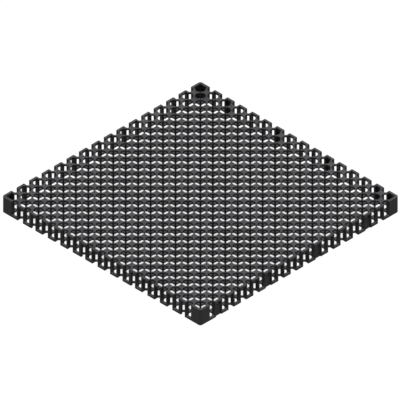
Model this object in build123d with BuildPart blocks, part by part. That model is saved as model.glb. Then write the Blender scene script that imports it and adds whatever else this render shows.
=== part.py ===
"""Drainage cell: a square moulded panel, open on both faces, laid flat under soil or paving.

Two thin layers are held apart by a post at every crossing of a square grid. Small square plates
fill the grid like a chessboard: one colour is in the top layer, the other in the bottom layer,
and diagonal necks carry each plate to the posts at its four corners. Walls on the outermost posts
carry tabs, which slip into the gaps of the next panel. Connectors stand at every eighth cell, and
a closed block at each corner.

The moulding is one piece. It is written as four quarters that meet face to face on the panel's
two middle lines. Frame: origin at the centre of the underside, +Z up, front edge towards -Y.
"""

import os
from functools import lru_cache
from math import sqrt

from build123d import *

# Driving dimensions, in millimetres
CELLS = 31  # cells along each side, an odd number so that the four corners are alike
PITCH = 13.95  # from post to post
HEIGHT = 30.0
REACH = 6.25  # from the outermost posts to the panel's edge
PLATE = 10.0  # side of a square plate
SKIN = 3.1  # thickness of both layers
RECESS = 0.85  # depth of both layers and the inner posts inside the faces of the panel's edge
NECK = 3.1  # width of a diagonal neck, and side of a post, which is turned to face along the necks
WALL = 2.4  # thickness of the walls of tabs, corner blocks and connectors
RIM = 4.2  # width of a tab's plate and of a corner block's rim
CORNER_RADIUS = 4.5  # upright outer edges of the corner blocks
CONNECTOR_FIRST = 2  # cell of the first connector on each side
CONNECTOR_STEP = 8  # cells from one connector to the next
LUG = 2.6  # thickness of the pad that narrows a socket of the back edge or a catch of the left edge
LATCH_DEPTH = 2.0  # from the front edge to the wall across a latch gap
LATCH_HEIGHT = 20.0  # height of that wall

# Derived sizes
FIELD = CELLS * PITCH
SIDE = FIELD + 2 * REACH
BLOCK = REACH + PITCH + WALL / 2
QUARTER_PLATE = PLATE / 2
QUARTER_MIDDLE = PITCH / 2 - PLATE / 4
NECK_LENGTH = QUARTER_MIDDLE * sqrt(2)
LEDGE = RECESS + SKIN
LUG_OFFSET = (WALL + LUG) / 2
CORNER_TIP = SIDE / 2 - CORNER_RADIUS + (CORNER_RADIUS - WALL / 2) / sqrt(2)
CORNER_NECK_LENGTH = (CORNER_TIP - FIELD / 2) * sqrt(2)
CORNER_NECK_MIDDLE = (CORNER_TIP + FIELD / 2) / 2
CONNECTORS = range(CONNECTOR_FIRST, CELLS, CONNECTOR_STEP)
FAR_TABS = range(2, CELLS - 1, 2)
NEAR_TABS = range(1, CELLS - 1, 2)


def line(index):
    """Place of a grid line, counted from the left or front edge."""
    return index * PITCH - FIELD / 2


def middle(index):
    """Place of a cell's middle, counted from the left or front edge."""
    return line(index) + PITCH / 2


def along(side, places, depth):
    """Locations along one side of the panel, a depth inside its edge, with X along that side."""
    out = SIDE / 2 - depth
    spots = {
        "front": lambda place: Location((place, -out), 0),
        "right": lambda place: Location((out, place), 90),
        "back": lambda place: Location((place, out), 180),
        "left": lambda place: Location((-out, place), 270),
    }
    return [spots[side](place) for place in places]


@lru_cache(maxsize=None)
def crossing(top_plates, bottom_plates, has_post):
    """One crossing of the grid: a post with the quarter plates around it, each on its neck.

    The plates are given by the signs of X and Y that point to them from the post.
    """
    with BuildPart() as unit:
        for plates, height in ((bottom_plates, RECESS), (top_plates, HEIGHT - LEDGE)):
            if plates:
                with BuildSketch(Plane.XY.offset(height)):
                    for x, y in plates:
                        with Locations((x * QUARTER_MIDDLE, y * QUARTER_MIDDLE)):
                            Rectangle(QUARTER_PLATE, QUARTER_PLATE)
                        with Locations((x * QUARTER_MIDDLE / 2, y * QUARTER_MIDDLE / 2)):
                            Rectangle(NECK_LENGTH, NECK, rotation=45 * x * y)
                extrude(amount=SKIN)
        if has_post:
            with BuildSketch(Plane.XY.offset(RECESS)):
                Rectangle(NECK, NECK, rotation=45)
            extrude(amount=HEIGHT - 2 * RECESS)
    return unit.part


def crossing_at(column, row):
    """The crossing of two grid lines, in its place, with the plates that lie on the panel."""
    top_plates, bottom_plates = [], []
    for x, y in ((1, 1), (-1, 1), (-1, -1), (1, -1)):
        cell_x = column if x > 0 else column - 1
        cell_y = row if y > 0 else row - 1
        if 0 <= cell_x < CELLS and 0 <= cell_y < CELLS:
            is_top = (cell_x + cell_y) % 2 == 1
            (top_plates if is_top else bottom_plates).append((x, y))
    at_corner = column in (0, CELLS) and row in (0, CELLS)
    unit = crossing(tuple(top_plates), tuple(bottom_plates), not at_corner)
    return unit.moved(Location((line(column), line(row))))


# Closed walls of the four corner blocks, and the rims on top of them
with BuildSketch() as block_walls:
    RectangleRounded(SIDE, SIDE, CORNER_RADIUS)
    RectangleRounded(SIDE - 2 * WALL, SIDE - 2 * WALL, CORNER_RADIUS - WALL, mode=Mode.SUBTRACT)
    Rectangle(SIDE - 2 * BLOCK, SIDE, mode=Mode.SUBTRACT)
    Rectangle(SIDE, SIDE - 2 * BLOCK, mode=Mode.SUBTRACT)

with BuildSketch() as block_rims:
    RectangleRounded(SIDE, SIDE, CORNER_RADIUS)
    Rectangle(SIDE - 2 * RIM, SIDE - 2 * RIM, mode=Mode.SUBTRACT)
    Rectangle(SIDE - 2 * BLOCK, SIDE, mode=Mode.SUBTRACT)
    Rectangle(SIDE, SIDE - 2 * BLOCK, mode=Mode.SUBTRACT)

# Full-height walls: one on every outer post, across the closed tabs of the right edge, and the pads
with BuildSketch() as walls:
    for side in ("front", "right", "back", "left"):
        with Locations(*along(side, [line(i) for i in range(1, CELLS)], REACH / 2)):
            Rectangle(WALL, REACH)
    with Locations(*along("right", [middle(i) for i in CONNECTORS], WALL / 2)):
        Rectangle(PITCH, WALL)
    for side, width in (("back", REACH), ("left", RIM)):
        with Locations(*along(side, [line(i + 1) - LUG_OFFSET for i in CONNECTORS], width / 2)):
            Rectangle(LUG, width)
    add(block_walls.sketch)

# Plates across the tabs: on top along the back and right edges, below along the other two
with BuildSketch(Plane.XY.offset(HEIGHT - LEDGE)) as top_plates:
    for side in ("back", "right"):
        with Locations(*along(side, [middle(i) for i in FAR_TABS], RIM / 2)):
            Rectangle(PITCH + WALL, RIM)
    add(block_rims.sketch)

with BuildSketch() as bottom_plates:
    for side in ("front", "left"):
        with Locations(*along(side, [middle(i) for i in NEAR_TABS], RIM / 2)):
            Rectangle(PITCH + WALL, RIM)

# Necks from the corner crossings to the corner blocks
with BuildSketch(Plane.XY.offset(RECESS)) as corner_necks:
    for x, y in ((1, 1), (-1, 1), (-1, -1), (1, -1)):
        with Locations((x * CORNER_NECK_MIDDLE, y * CORNER_NECK_MIDDLE)):
            Rectangle(CORNER_NECK_LENGTH, NECK, rotation=45 * x * y)

# Lower walls across the latch gaps of the front edge
with BuildSketch() as latches:
    with Locations(*along("front", [middle(i) for i in CONNECTORS], LATCH_DEPTH + WALL / 2)):
        Rectangle(PITCH, WALL)

with BuildPart() as edges:
    extrude(walls.sketch, amount=HEIGHT)
    extrude(top_plates.sketch, amount=LEDGE)
    extrude(bottom_plates.sketch, amount=LEDGE)
    extrude(corner_necks.sketch, amount=SKIN)
    extrude(latches.sketch, amount=LATCH_HEIGHT)
    split(bisect_by=Plane.YZ, keep=Keep.BOTH)
    split(bisect_by=Plane.XZ, keep=Keep.BOTH)

LEFT_OR_FRONT = range(0, (CELLS + 1) // 2)
RIGHT_OR_BACK = range((CELLS + 1) // 2, CELLS + 1)
QUARTERS = {
    "grid_front_left": (LEFT_OR_FRONT, LEFT_OR_FRONT),
    "grid_front_right": (RIGHT_OR_BACK, LEFT_OR_FRONT),
    "grid_back_left": (LEFT_OR_FRONT, RIGHT_OR_BACK),
    "grid_back_right": (RIGHT_OR_BACK, RIGHT_OR_BACK),
}

os.makedirs("parts", exist_ok=True)

for name, (columns, rows) in QUARTERS.items():
    pieces = [crossing_at(column, row) for column in columns for row in rows]
    for edge in edges.solids():
        at_left = edge.center().X < 0
        at_front = edge.center().Y < 0
        if at_left == (columns is LEFT_OR_FRONT) and at_front == (rows is LEFT_OR_FRONT):
            pieces.append(edge)
    with BuildPart() as grid:
        add(pieces)
    grid.part.label = name
    # every face is flat or a plain cylinder, so the curves on the faces needn't be written as well
    export_step(grid.part, f"parts/{name}.step", write_pcurves=False)
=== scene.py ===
"""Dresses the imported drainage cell: black moulded plastic on a pale studio floor."""

import logging
import math
from dataclasses import dataclass
from enum import Enum
from typing import Any, Union

import bpy
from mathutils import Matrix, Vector


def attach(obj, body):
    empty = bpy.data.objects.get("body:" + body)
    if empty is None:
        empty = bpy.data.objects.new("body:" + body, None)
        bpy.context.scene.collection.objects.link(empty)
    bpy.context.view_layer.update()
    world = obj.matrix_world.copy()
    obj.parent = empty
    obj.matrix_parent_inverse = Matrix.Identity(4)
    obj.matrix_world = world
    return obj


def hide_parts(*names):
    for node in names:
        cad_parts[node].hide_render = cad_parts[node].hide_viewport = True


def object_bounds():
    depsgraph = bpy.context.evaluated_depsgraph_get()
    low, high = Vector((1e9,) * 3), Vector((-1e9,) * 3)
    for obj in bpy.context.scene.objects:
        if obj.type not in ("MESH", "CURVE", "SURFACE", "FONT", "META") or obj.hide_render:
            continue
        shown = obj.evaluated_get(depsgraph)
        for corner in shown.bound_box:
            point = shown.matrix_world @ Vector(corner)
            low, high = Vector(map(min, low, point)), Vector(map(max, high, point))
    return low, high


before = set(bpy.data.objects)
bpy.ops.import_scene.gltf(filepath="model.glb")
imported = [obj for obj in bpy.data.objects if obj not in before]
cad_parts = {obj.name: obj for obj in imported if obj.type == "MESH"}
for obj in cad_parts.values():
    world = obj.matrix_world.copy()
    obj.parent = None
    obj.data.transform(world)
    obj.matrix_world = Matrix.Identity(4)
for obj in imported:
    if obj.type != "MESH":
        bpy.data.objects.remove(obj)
CAD_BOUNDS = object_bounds()

LOG = logging.getLogger("drainage_cell")
PHOTO_PIXELS = 400

Number = Union[int, float]
Operand = Union[Number, "Value"]


class Value:
    """One number socket of a shader, which takes part in Python expressions."""

    def __init__(self, graph: "Graph", socket: bpy.types.NodeSocket) -> None:
        """Wraps a socket.

        Args:
            graph: The graph that the socket belongs to.
            socket: The output that holds the number.
        """
        self.graph = graph
        self.socket = socket

    def _math(self, operation: str, *operands: Operand) -> "Value":
        """Adds a Math node.

        Args:
            operation: The Math node's operation.
            operands: Its operands, in order.

        Returns:
            The node's result.
        """
        made = self.graph.node("ShaderNodeMath", {"operation": operation}, dict(enumerate(operands)))
        return Value(self.graph, made.outputs[0])

    def __add__(self, other: Operand) -> "Value":
        """This plus another."""
        return self._math("ADD", self, other)

    def __radd__(self, other: Number) -> "Value":
        """A number plus this."""
        return self._math("ADD", other, self)

    def __mul__(self, other: Operand) -> "Value":
        """This times another."""
        return self._math("MULTIPLY", self, other)

    def __rmul__(self, other: Number) -> "Value":
        """A number times this."""
        return self._math("MULTIPLY", other, self)

    def __abs__(self) -> "Value":
        """This without its sign."""
        return self._math("ABSOLUTE", self)

    def larger(self, other: Operand) -> "Value":
        """The larger of this and another."""
        return self._math("MAXIMUM", self, other)


class Graph:
    """The node tree of one material."""

    def __init__(self, tree: bpy.types.NodeTree) -> None:
        """Clears a node tree and keeps it.

        Args:
            tree: The tree to fill.
        """
        self.tree = tree
        self.tree.nodes.clear()

    def node(self, kind: str, settings: dict[str, Any], inputs: dict[Any, Any]) -> bpy.types.Node:
        """Adds any node.

        Args:
            kind: The node's type.
            settings: Its own settings; "stops" sets a ramp's positions and colours.
            inputs: A value, a socket or a Value for each of its sockets.

        Returns:
            The new node.
        """
        made = self.tree.nodes.new(kind)
        for name, setting in settings.items():
            if name == "stops":
                self._set_stops(made.color_ramp, setting)
            else:
                setattr(made, name, setting)
        for key, given in inputs.items():
            target = made.inputs[key]
            if isinstance(given, Value):
                self.tree.links.new(given.socket, target)
            elif isinstance(given, bpy.types.NodeSocket):
                self.tree.links.new(given, target)
            else:
                target.default_value = given
        return made

    @staticmethod
    def _set_stops(ramp: bpy.types.ColorRamp, stops: list[tuple[float, tuple]]) -> None:
        """Gives a ramp its stops, in order.

        Args:
            ramp: The ramp of a Color Ramp node.
            stops: Each stop's position and colour.
        """
        while len(ramp.elements) < len(stops):
            ramp.elements.new(1.0)
        for element, (position, colour) in zip(ramp.elements, stops):
            element.position = position
            element.color = colour

    def value(self, socket: bpy.types.NodeSocket) -> Value:
        """Wraps a socket for expressions."""
        return Value(self, socket)


@dataclass(frozen=True)
class MouldedPlastic:
    """Black polypropylene as it comes from the mould: even, faintly grained, slightly satin."""

    name: str = "black_moulded_plastic"
    dark: tuple = (0.030, 0.030, 0.033, 1.0)
    light: tuple = (0.050, 0.050, 0.054, 1.0)
    dark_stop: float = 0.36
    light_stop: float = 0.64
    cloud_scale: float = 14.0
    cloud_detail: float = 4.0
    cloud_share: float = 0.65
    streak_scale: float = 60.0
    streak_detail: float = 2.0
    streak_share: float = 0.35
    grain_scale: float = 1400.0
    grain_detail: float = 2.0
    grain_strength: float = 0.35
    grain_depth: float = 0.00006
    noise_roughness: float = 0.55
    roughness: float = 0.46
    roughness_swing: float = 0.16
    specular: float = 0.4

    def build(self) -> bpy.types.Material:
        """Makes the material.

        Returns:
            The finished material.
        """
        material = bpy.data.materials.new(self.name)
        material.use_nodes = True
        graph = Graph(material.node_tree)
        place = graph.node("ShaderNodeTexCoord", {}, {}).outputs["Object"]
        cloud = self._noise(graph, place, self.cloud_scale, self.cloud_detail)
        streak = self._noise(graph, place, self.streak_scale, self.streak_detail)
        grain = self._noise(graph, place, self.grain_scale, self.grain_detail)
        tone = cloud * self.cloud_share + streak * self.streak_share
        colour = graph.node(
            "ShaderNodeValToRGB",
            {"stops": [(self.dark_stop, self.dark), (self.light_stop, self.light)]},
            {"Fac": tone},
        ).outputs["Color"]
        roughness = self.roughness - self.roughness_swing / 2 + streak * self.roughness_swing
        bump = graph.node(
            "ShaderNodeBump",
            {},
            {"Strength": self.grain_strength, "Distance": self.grain_depth, "Height": grain},
        ).outputs["Normal"]
        shader = graph.node(
            "ShaderNodeBsdfPrincipled",
            {},
            {
                "Base Color": colour,
                "Roughness": roughness,
                "Normal": bump,
                "Specular IOR Level": self.specular,
            },
        )
        graph.node("ShaderNodeOutputMaterial", {}, {"Surface": shader.outputs["BSDF"]})
        return material

    def _noise(self, graph: Graph, place: bpy.types.NodeSocket, scale: float, detail: float) -> Value:
        """Adds a noise pattern on Object coordinates.

        Args:
            graph: The material's graph.
            place: The coordinates.
            scale: Features per metre, roughly.
            detail: Octaves of finer noise.

        Returns:
            The noise, about 0.5 on average.
        """
        made = graph.node(
            "ShaderNodeTexNoise",
            {},
            {"Vector": place, "Scale": scale, "Detail": detail, "Roughness": self.noise_roughness},
        )
        return graph.value(made.outputs["Fac"])


@dataclass(frozen=True)
class BrightFloor:
    """A white floor that shines by itself, with a painted shade under the panel: its glow is dimmed there in
    place of the panel's shadow.
    """

    name: str = "pale_floor"
    colour: tuple = (0.02, 0.02, 0.02, 1.0)
    open_tone: tuple = (1.0, 1.0, 1.0, 1.0)
    # Painted shade: the dimmer glow under the panel that stands in for its cast shadow.
    painted_shade_tone: tuple = (0.80, 0.80, 0.80, 1.0)
    shade_inset: float = 0.012
    shade_fade: float = 0.010
    roughness: float = 0.9
    specular: float = 0.0
    glow: float = 1.0

    def build(self) -> bpy.types.Material:
        """Makes the material.

        Returns:
            The finished material.
        """
        material = bpy.data.materials.new(self.name)
        material.use_nodes = True
        graph = Graph(material.node_tree)
        place = graph.node("ShaderNodeTexCoord", {}, {}).outputs["Object"]
        axes = graph.node("ShaderNodeSeparateXYZ", {}, {"Vector": place}).outputs
        # Painted shade: the glow is dimmed to a grey tone under the panel's footprint and fades back to
        # white near its edge, standing in for a cast shadow.
        reach = abs(graph.value(axes["X"])).larger(abs(graph.value(axes["Y"])))
        shade_edge = CAD_BOUNDS[1][0] - self.shade_inset
        openness = graph.node(
            "ShaderNodeMapRange",
            {"interpolation_type": "SMOOTHSTEP"},
            {"Value": reach, "From Min": shade_edge - self.shade_fade, "From Max": shade_edge},
        ).outputs["Result"]
        tone = graph.node(
            "ShaderNodeValToRGB",
            {"stops": [(0.0, self.painted_shade_tone), (1.0, self.open_tone)]},
            {"Fac": openness},
        ).outputs["Color"]
        shader = graph.node(
            "ShaderNodeBsdfPrincipled",
            {},
            {
                "Base Color": self.colour,
                "Roughness": self.roughness,
                "Specular IOR Level": self.specular,
                "Emission Color": tone,
                "Emission Strength": self.glow,
            },
        )
        graph.node("ShaderNodeOutputMaterial", {}, {"Surface": shader.outputs["BSDF"]})
        return material


class Quarter(Enum):
    """The four nodes that the moulding is written in."""

    FRONT_LEFT = "grid_front_left"
    FRONT_RIGHT = "grid_front_right"
    BACK_LEFT = "grid_back_left"
    BACK_RIGHT = "grid_back_right"

    @property
    def piece_name(self) -> str:
        """Name of the piece that shows this quarter."""
        return self.value.replace("grid", "moulding")

    @property
    def signs(self) -> tuple[int, int]:
        """Signs of X and Y in this quarter."""
        return (1 if "right" in self.value else -1, 1 if "back" in self.value else -1)


@dataclass(frozen=True)
class Lattice:
    """The grid that the panel is laid out on."""

    cells: int = 31
    reach: float = 0.00625
    recess: float = 0.00085
    skin: float = 0.0031
    plate: float = 0.0100

    @property
    def pitch(self) -> float:
        """Distance from post to post."""
        return (CAD_BOUNDS[1][0] - CAD_BOUNDS[0][0] - 2 * self.reach) / self.cells

    @property
    def outer_line(self) -> float:
        """Distance of the outermost posts from the panel's middle."""
        return CAD_BOUNDS[1][0] - self.reach


def combine(piece: bpy.types.Object, tool: bpy.types.Object, operation: str) -> None:
    """Joins a closed mesh to a piece or cuts it out, and deletes it.

    Args:
        piece: The piece that is changed, and is then the only selected object.
        tool: The closed mesh.
        operation: UNION or DIFFERENCE.
    """
    bpy.ops.object.select_all(action="DESELECT")
    piece.select_set(True)
    bpy.context.view_layer.objects.active = piece
    modifier = piece.modifiers.new("combined", "BOOLEAN")
    modifier.operation = operation
    modifier.solver = "EXACT"
    modifier.object = tool
    bpy.ops.object.modifier_apply(modifier=modifier.name)
    bpy.data.objects.remove(tool)


def repeat(thing: bpy.types.Object, count: int, step: tuple) -> None:
    """Repeats the active object along a line.

    Args:
        thing: The object.
        count: How many there are in the end.
        step: From each one to the next.
    """
    array = thing.modifiers.new("row", "ARRAY")
    array.count = count
    array.use_relative_offset = False
    array.use_constant_offset = True
    array.constant_offset_displace = step
    bpy.ops.object.modifier_apply(modifier=array.name)


@dataclass
class EdgePlates:
    """The half plates that carry the chessboard on to the panel's edge, across the gaps beside its tabs."""

    lattice: Lattice

    def add(self, piece: bpy.types.Object, quarter: Quarter) -> None:
        """Joins the half plates of one quarter's two outer sides to it.

        They lie on top along the front and left sides, and below along the other two, where the
        middle one is shared with the next quarter.

        Args:
            piece: The closed mesh to join them to.
            quarter: The quarter that it shows.
        """
        pitch = self.lattice.pitch
        whole_plates = (self.lattice.cells - 1) // 4
        sign_x, sign_y = quarter.signs
        for run, out, along_x in ((sign_x, sign_y, True), (sign_y, sign_x, False)):
            if out < 0:
                rows = [(pitch, pitch, whole_plates)]
            else:
                rows = [(pitch / 4, pitch / 2, 1), (2 * pitch, pitch, whole_plates)]
            for start, width, count in rows:
                plates = self._half_plate(run * start, width, out, along_x)
                step = 2 * run * pitch
                repeat(plates, count, (step, 0.0, 0.0) if along_x else (0.0, step, 0.0))
                combine(piece, plates, "UNION")

    def _half_plate(self, start: float, width: float, out: int, along_x: bool) -> bpy.types.Object:
        """Makes the first half plate of a row.

        Args:
            start: Its middle along the side.
            width: Its size along the side.
            out: The sign of the direction that points out of the side.
            along_x: Whether the side runs along X.

        Returns:
            The half plate, active and selected.
        """
        grid = self.lattice
        low, high = CAD_BOUNDS
        inner = grid.outer_line + (grid.pitch - grid.plate) / 2
        depth = high[0] - inner
        across = out * (inner + high[0]) / 2
        inset = grid.recess + grid.skin / 2
        level = high[2] - inset if out < 0 else low[2] + inset
        place = (start, across, level) if along_x else (across, start, level)
        size = (width, depth, grid.skin) if along_x else (depth, width, grid.skin)
        bpy.ops.object.select_all(action="DESELECT")
        bpy.ops.mesh.primitive_cube_add(size=1.0, location=place, scale=size)
        bpy.ops.object.transform_apply(location=True, rotation=True, scale=True)
        return bpy.context.object


@dataclass
class PostHollows:
    """The square hollows in both ends of every inner post, where the mould cores the posts out."""

    lattice: Lattice
    width: float = 0.0020
    depth: float = 0.012
    spare: float = 0.001

    def cut(self, piece: bpy.types.Object, quarter: Quarter) -> None:
        """Cuts the hollows of one quarter.

        Args:
            piece: The closed mesh to cut.
            quarter: The quarter that it shows.
        """
        combine(piece, self._cores(quarter), "DIFFERENCE")

    def _cores(self, quarter: Quarter) -> bpy.types.Object:
        """Makes the cores that the hollows are cut with, as copies of one square bar.

        Args:
            quarter: The quarter to cut.

        Returns:
            All cores of the quarter, as one object.
        """
        low, high = CAD_BOUNDS
        pitch = self.lattice.pitch
        posts = (self.lattice.cells - 1) // 2
        middle = low[2] + self.lattice.recess + (self.depth - self.spare) / 2
        sign_x, sign_y = quarter.signs
        bpy.ops.object.select_all(action="DESELECT")
        bpy.ops.mesh.primitive_cube_add(
            size=1.0,
            location=(sign_x * pitch / 2, sign_y * pitch / 2, middle),
            rotation=(0.0, 0.0, math.pi / 4),
            scale=(self.width, self.width, self.depth + self.spare),
        )
        bpy.ops.object.transform_apply(location=True, rotation=True, scale=True)
        cores = bpy.context.object
        repeat(cores, posts, (sign_x * pitch, 0.0, 0.0))
        repeat(cores, posts, (0.0, sign_y * pitch, 0.0))
        repeat(cores, 2, (0.0, 0.0, low[2] + high[2] - 2 * middle))
        return cores


@dataclass
class Moulding:
    """The panel itself: its four quarters, with the soft edges that a mould leaves, in one finish."""

    finish: MouldedPlastic
    edge_plates: EdgePlates
    hollows: PostHollows
    body: str = "root"
    slot: str = "moulding"
    edge_radius: float = 0.0002
    edge_segments: int = 2
    sharp_angle: float = math.radians(25.0)
    flat_angle: float = math.radians(0.5)
    smooth_angle: float = math.radians(60.0)
    merge_distance: float = 2.0e-6
    face_weight: int = 100

    def build(self) -> None:
        """Makes every quarter, on the panel's only body."""
        material = self.finish.build()
        for quarter in Quarter:
            self._finish_node(bpy.data.objects[quarter.value], material)
            piece = self._copy(quarter)
            self.edge_plates.add(piece, quarter)
            self.hollows.cut(piece, quarter)
            self._soften(piece)
            self._finish_node(piece, material)
            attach(piece, self.body)
            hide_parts(quarter.value)
            LOG.info("%s: %s, %d faces", piece.name, material.name, len(piece.data.polygons))

    @staticmethod
    def _finish_node(thing: bpy.types.Object, material: bpy.types.Material) -> None:
        """Gives one object the moulded finish.

        Args:
            thing: The object.
            material: The finish.
        """
        thing.data.materials.clear()
        thing.data.materials.append(material)

    def _copy(self, quarter: Quarter) -> bpy.types.Object:
        """Copies a quarter's mesh into a new piece, merges it and makes it the only selected object.

        Args:
            quarter: The quarter to copy.

        Returns:
            The new piece.
        """
        bpy.ops.object.select_all(action="DESELECT")
        mesh = bpy.data.objects[quarter.value].data.copy()
        piece = bpy.data.objects.new(quarter.piece_name, mesh)
        bpy.context.collection.objects.link(piece)
        piece.select_set(True)
        bpy.context.view_layer.objects.active = piece
        bpy.ops.object.mode_set(mode="EDIT")
        bpy.ops.mesh.select_all(action="SELECT")
        bpy.ops.mesh.remove_doubles(threshold=self.merge_distance)
        bpy.ops.object.mode_set(mode="OBJECT")
        return piece

    def _soften(self, piece: bpy.types.Object) -> None:
        """Rounds a quarter's sharp edges, except where the next quarter joins on.

        Args:
            piece: The piece to shape; it is the active object.
        """
        bpy.ops.object.mode_set(mode="EDIT")
        bpy.ops.mesh.select_mode(type="EDGE")
        bpy.ops.mesh.select_all(action="SELECT")
        bpy.ops.mesh.dissolve_limited(angle_limit=self.flat_angle)
        bpy.ops.mesh.select_all(action="DESELECT")
        bpy.ops.mesh.edges_select_sharp(sharpness=self.sharp_angle)
        bpy.ops.object.mode_set(mode="OBJECT")
        self._leave_out(piece.data)
        bpy.ops.object.mode_set(mode="EDIT")
        bpy.ops.mesh.bevel(
            offset=self.edge_radius, segments=self.edge_segments, affect="EDGES", clamp_overlap=False
        )
        bpy.ops.object.mode_set(mode="OBJECT")
        bpy.ops.object.shade_smooth_by_angle(angle=self.smooth_angle)
        weighted = piece.modifiers.new("even_faces", "WEIGHTED_NORMAL")
        weighted.weight = self.face_weight
        weighted.keep_sharp = True
        bpy.ops.object.modifier_apply(modifier=weighted.name)

    def _leave_out(self, mesh: bpy.types.Mesh) -> None:
        """Deselects the edges on the panel's two middle lines, and those that end at a very short edge.

        Args:
            mesh: A quarter's mesh, in object mode.
        """
        mesh.polygons.foreach_set("select", [False] * len(mesh.polygons))
        crowded = set()
        for edge in mesh.edges:
            first, second = (mesh.vertices[index].co for index in edge.vertices)
            if (first - second).length < 2 * self.edge_radius:
                crowded.update(edge.vertices)
        for edge in mesh.edges:
            first, second = (mesh.vertices[index].co for index in edge.vertices)
            offsets = (max(abs(first[axis]), abs(second[axis])) for axis in range(2))
            on_join = min(offsets) < self.merge_distance
            if on_join or crowded.intersection(edge.vertices):
                edge.select = False


@dataclass
class Studio:
    """Floor, lights and camera."""

    floor_size: float = 6.0
    floor_drop: float = 0.0004
    azimuth: float = math.radians(-45.0)
    elevation: float = math.asin(1.0 / math.sqrt(3.0))
    side_pixels: float = 280.8
    centre_pixel: tuple = (200.4, 203.75)
    camera_distance: float = 3.0
    sky: tuple = (1.0, 1.0, 1.0, 1.0)
    sky_strength: float = 0.30
    key_strength: float = 4.0
    key_angle: float = math.radians(12.0)
    key_height: float = 1.5

    def build(self) -> None:
        """Sets up the whole studio."""
        self._floor()
        self._sky()
        self._key_light()
        self._camera()
        bpy.context.scene.view_settings.view_transform = "Standard"

    def _floor(self) -> None:
        """Lays the floor under the panel, as a bright ground that throws no light back up at it."""
        bpy.ops.object.select_all(action="DESELECT")
        level = CAD_BOUNDS[0][2] - self.floor_drop
        bpy.ops.mesh.primitive_plane_add(size=self.floor_size, location=(0.0, 0.0, level))
        bpy.ops.object.transform_apply(location=True)
        floor = bpy.context.object
        floor.name = "floor"
        floor.data.materials.append(BrightFloor().build())
        floor.visible_diffuse = False
        floor.visible_glossy = False
        floor.visible_shadow = False

    def _sky(self) -> None:
        """Fills the scene with even, weak light."""
        world = bpy.data.worlds.new("studio")
        world.use_nodes = True
        background = world.node_tree.nodes["Background"]
        background.inputs["Color"].default_value = self.sky
        background.inputs["Strength"].default_value = self.sky_strength
        bpy.context.scene.world = world

    def _key_light(self) -> None:
        """Shines one soft light straight down, which reaches both layers alike and leaves the sides dark."""
        bpy.ops.object.light_add(type="SUN", location=(0.0, 0.0, self.key_height))
        light = bpy.context.object
        light.name = "key_light"
        light.data.energy = self.key_strength
        light.data.angle = self.key_angle

    def _camera(self) -> None:
        """Places an orthographic camera at the photograph's angle and scale."""
        low, high = Vector(CAD_BOUNDS[0]), Vector(CAD_BOUNDS[1])
        metres_per_pixel = (high.x - low.x) / self.side_pixels
        back = Vector(
            (
                math.sin(self.azimuth) * math.cos(self.elevation),
                -math.cos(self.azimuth) * math.cos(self.elevation),
                math.sin(self.elevation),
            )
        )
        turn = back.to_track_quat("Z", "Y")
        right, up = turn @ Vector((1.0, 0.0, 0.0)), turn @ Vector((0.0, 1.0, 0.0))
        half = PHOTO_PIXELS / 2
        aim = (low + high) / 2
        aim -= right * (self.centre_pixel[0] - half) * metres_per_pixel
        aim += up * (self.centre_pixel[1] - half) * metres_per_pixel
        bpy.ops.object.camera_add(location=aim + back * self.camera_distance, rotation=turn.to_euler())
        camera = bpy.context.object
        camera.data.type = "ORTHO"
        camera.data.ortho_scale = PHOTO_PIXELS * metres_per_pixel
        bpy.context.scene.camera = camera


def main() -> None:
    """Builds everything in order and reports each piece."""
    logging.basicConfig(level=logging.INFO, format="%(name)s: %(message)s")
    lattice = Lattice()
    Moulding(MouldedPlastic(), EdgePlates(lattice), PostHollows(lattice)).build()
    Studio().build()


if __name__ == "__main__":
    main()
